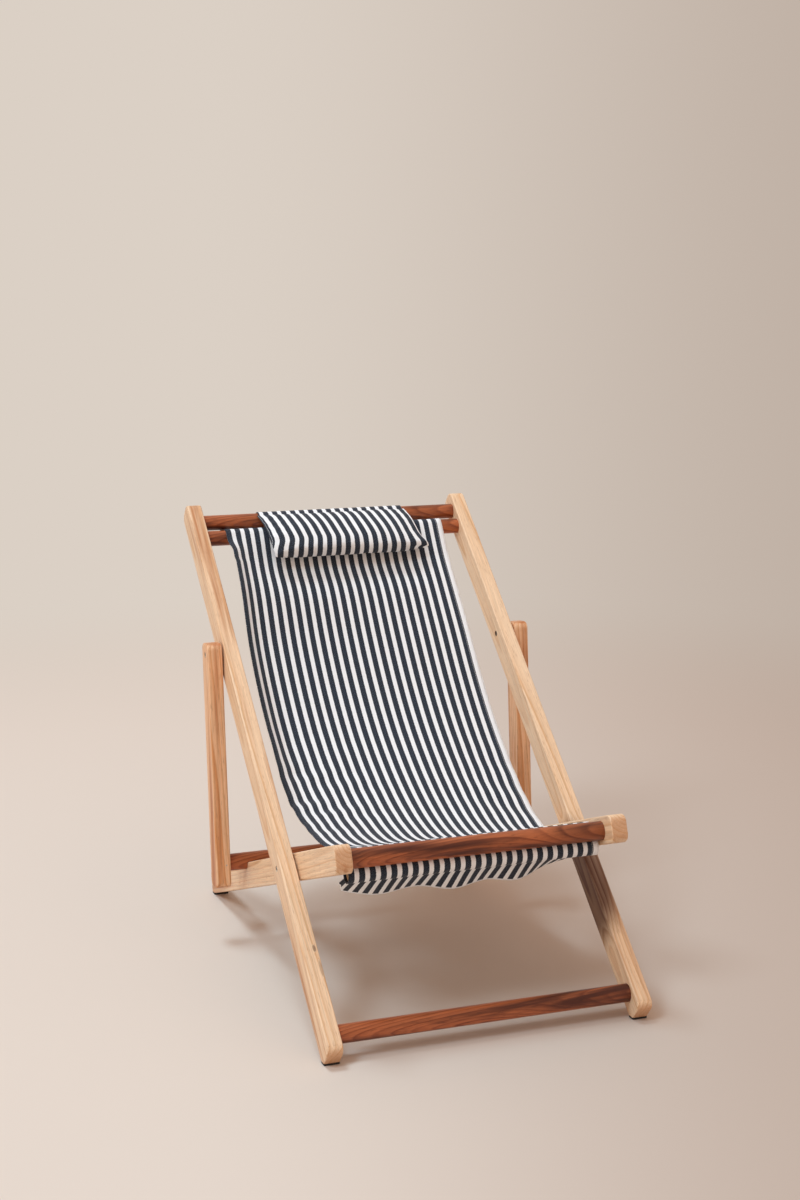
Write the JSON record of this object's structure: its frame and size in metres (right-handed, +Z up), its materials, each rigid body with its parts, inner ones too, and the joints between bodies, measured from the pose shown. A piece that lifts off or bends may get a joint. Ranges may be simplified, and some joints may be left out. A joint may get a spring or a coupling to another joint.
{
  "type": "sling chair",
  "caption": "Low folding sling chair: two pivoting timber frames and a notched support frame, with a striped cloth sling and a small head pillow.",
  "frame": {"origin": "on the floor, under the middle of the chair's box", "axes": "+Z up, the sitter faces -Y, X across the chair"},
  "size_m": [0.4792, 0.693, 0.588],
  "materials": {
    "rail_wood": "pale ash with visible grain, oiled and matt",
    "strut_wood": "redder, coarser grained hardwood, oiled and matt",
    "bar_wood": "red-brown turned hardwood with dark pores, oiled, soft sheen",
    "dowel_wood": "plain sanded dowel",
    "steel": "bright zinc plated",
    "foot_rubber": "black, matt",
    "sling_cloth": "woven canvas in navy and white stripes",
    "pillow_cloth": "woven canvas in navy and white stripes over a soft filling"
  },
  "bodies": {
    "seat_frame": {"left_seat_rail": "rail_wood", "right_seat_rail": "rail_wood", "front_seat_bar": "bar_wood", "rear_seat_bar": "bar_wood", "seat_frame_brads": "steel", "rear_foot_pads": "foot_rubber", "rear_foot_screws": "steel", "front_sleeve_dowel": "dowel_wood", "seat_pivot_screws": "steel", "seat_pivot_nuts": "steel", "seat_pivot_washers": "steel"},
    "back_frame": {"left_long_rail": "rail_wood", "right_long_rail": "rail_wood", "bottom_bar": "bar_wood", "lower_top_bar": "bar_wood", "upper_top_bar": "bar_wood", "back_frame_brads": "steel", "front_foot_pads": "foot_rubber", "front_foot_screws": "steel", "top_sleeve_dowel": "dowel_wood", "sling": "sling_cloth", "head_pillow": "pillow_cloth", "pillow_flap": "pillow_cloth", "strut_pivot_screws": "steel", "strut_pivot_nuts": "steel", "strut_pivot_washers": "steel"},
    "support_frame": {"left_support_strut": "strut_wood", "right_support_strut": "strut_wood", "support_bar": "bar_wood", "support_frame_brads": "steel"}
  },
  "joints": [
    {"name": "back_fold", "type": "hinge", "parent": "seat_frame", "child": "back_frame", "pos_m": [0, -0.13387, 0.18304], "axis": [1, 0, 0], "range_deg": [0, 111.8], "deforming": ["sling"]},
    {"name": "support_fold", "type": "hinge", "parent": "back_frame", "child": "support_frame", "pos_m": [0, 0.13502, 0.40787], "axis": [1, 0, 0], "range_deg": [-38.5, 0]}
  ],
  "couplings": [
    {"joint": "support_fold", "follows": "back_fold", "ratio": -0.3443}
  ]
}
